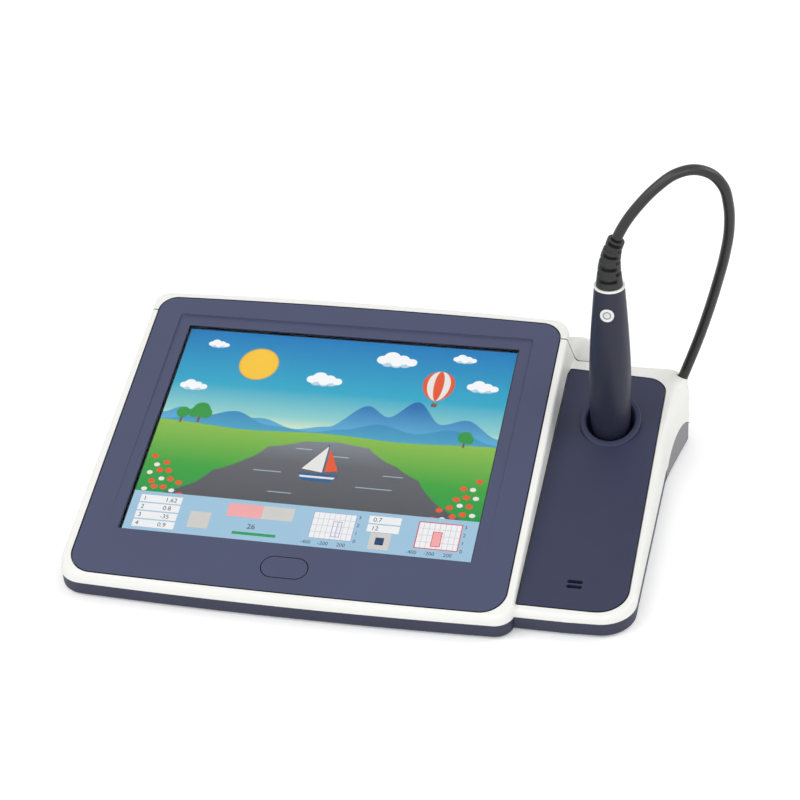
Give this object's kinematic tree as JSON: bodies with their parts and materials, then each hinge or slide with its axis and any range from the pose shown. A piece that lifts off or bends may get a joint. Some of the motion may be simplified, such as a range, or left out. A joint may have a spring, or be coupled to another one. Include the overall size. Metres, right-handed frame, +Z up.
{
  "type": "tympanometer",
  "caption": "Desk-top tympanometer with an inclined touch screen in a navy panel, a white two-tier housing and a navy handle probe standing in a cradle on its black cable.",
  "frame": {"origin": "on the desk, under the middle of the housing's outline, cable left out", "axes": "+Z up from the desk, +X to the right of a user who faces the screen, +Y to the rear, where the screen is highest"},
  "size_m": [0.3015, 0.177, 0.1745],
  "materials": {
    "white_plastic": "fine-textured white housing plastic",
    "navy_plastic": "satin navy plastic with a fine texture",
    "black_plastic": "plain black plastic",
    "grey_plastic": "light grey button plastic",
    "black_rubber": "smooth black rubber",
    "tube_silicone": "milky silicone tube",
    "clear_glass": "clear touch panel",
    "display_face": "lit display face",
    "board_green": "green printed board",
    "sheet_steel": "plain sheet steel",
    "screw_steel": "zinc-plated screws"
  },
  "bodies": {
    "housing": {"base_shell": "navy_plastic", "top_housing": "white_plastic", "rear_cover": "white_plastic", "screen_bezel": "navy_plastic", "touch_glass": "clear_glass", "screen_panel": "display_face", "display_module": "sheet_steel", "display_bracket": "sheet_steel", "home_switch": "board_green", "main_board": "board_green", "pump_head": "black_plastic", "pump_motor": "sheet_steel", "pressure_sensor": "black_plastic", "air_tubes": "tube_silicone", "speaker": "black_plastic", "probe_panel": "navy_plastic", "cradle_cup": "navy_plastic", "power_inlet": "black_plastic", "data_port": "sheet_steel", "cable_collar": "white_plastic", "cable_gland": "black_rubber", "rubber_feet": "black_rubber", "base_screws": "screw_steel", "bracket_screws": "screw_steel", "board_screws": "screw_steel", "probe_cable": "black_rubber"},
    "home_button": {"home_button": "navy_plastic"},
    "probe": {"probe_handle": "navy_plastic", "probe_ring": "white_plastic", "probe_strain_relief": "black_rubber", "probe_button_ring": "white_plastic", "probe_board": "board_green", "probe_receivers": "sheet_steel", "probe_microphone": "sheet_steel", "probe_nose": "black_plastic", "probe_tip": "grey_plastic"},
    "probe_button": {"probe_button": "grey_plastic"}
  },
  "joints": [
    {"name": "home_button_press", "type": "slide", "parent": "housing", "child": "home_button", "axis": [0, 0.2756, -0.9613], "range_m": [0, 0.0008], "stiffness_N_per_m": 600, "springref_m": -0.0005},
    {"name": "probe_lift", "type": "slide", "parent": "housing", "child": "probe", "axis": [0, 0, 1], "range_m": [0, 0.035], "deforming": ["probe_cable"]},
    {"name": "probe_button_press", "type": "slide", "parent": "probe", "child": "probe_button", "axis": [0, 0.9974, -0.0719], "range_m": [0, 0.0005], "stiffness_N_per_m": 500, "springref_m": -0.0004}
  ]
}
